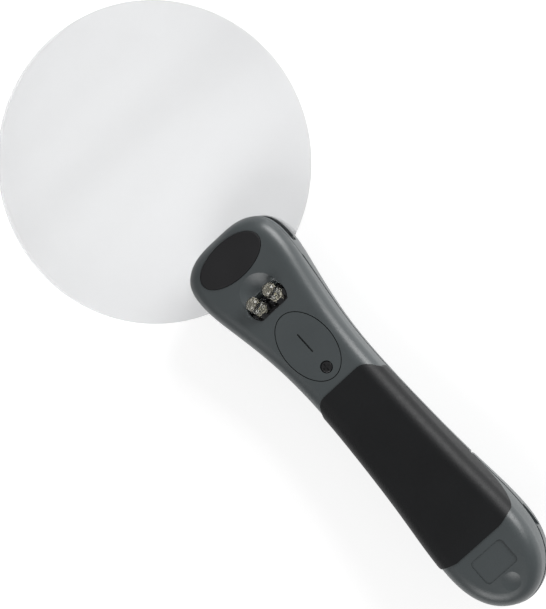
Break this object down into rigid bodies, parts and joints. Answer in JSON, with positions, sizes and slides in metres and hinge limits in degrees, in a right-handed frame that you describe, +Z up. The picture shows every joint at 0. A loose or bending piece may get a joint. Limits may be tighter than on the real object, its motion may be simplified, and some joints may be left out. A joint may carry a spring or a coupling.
{
  "type": "lighted hand magnifier",
  "caption": "Round rimless magnifying lens held in the head of a two-shell handle with twin lamps, a rubber grip, a slide switch and a sliding battery door.",
  "frame": {"origin": "bottom centre of the object's box as it lies on a table, lighted side up", "axes": "+Z up out of the lighted side, +Y along the handle towards the lens, +X across"},
  "size_m": [0.11, 0.2492, 0.0274],
  "materials": {
    "shell": "fine satin moulded plastic",
    "rubber": "soft matte rubber",
    "lens": "clear polished acrylic",
    "lamp": "clear epoxy",
    "steel": "bright plated steel",
    "black_plastic": "black moulded plastic",
    "board": "green circuit board",
    "cell": "plain wrapped dry cell",
    "wire_red": "smooth insulation",
    "wire_black": "smooth insulation"
  },
  "bodies": {
    "handle": {"front_shell": "shell", "back_shell": "shell", "front_grip": "rubber", "head_pad": "rubber", "lens": "lens", "lens_gasket": "rubber", "service_cover": "shell", "service_cover_screw": "steel", "led_left": "lamp", "led_right": "lamp", "led_leads": "steel", "led_holder": "black_plastic", "led_board": "board", "board_resistors": "black_plastic", "switch_housing": "black_plastic", "switch_terminals": "steel", "case_screws": "steel", "battery_left": "cell", "battery_right": "cell", "battery_tray": "black_plastic", "contact_negative": "steel", "contact_positive": "steel", "contact_link": "steel", "wire_red": "wire_red", "wire_black": "wire_black"},
    "door": {"battery_door": "shell"},
    "knob": {"switch_knob": "black_plastic"}
  },
  "joints": [
    {"name": "battery_door_slide", "type": "slide", "parent": "handle", "child": "door", "axis": [0, -1, 0], "range_m": [0, 0.055]},
    {"name": "switch_slide", "type": "slide", "parent": "handle", "child": "knob", "axis": [0, 1, 0], "range_m": [0, 0.003]}
  ]
}
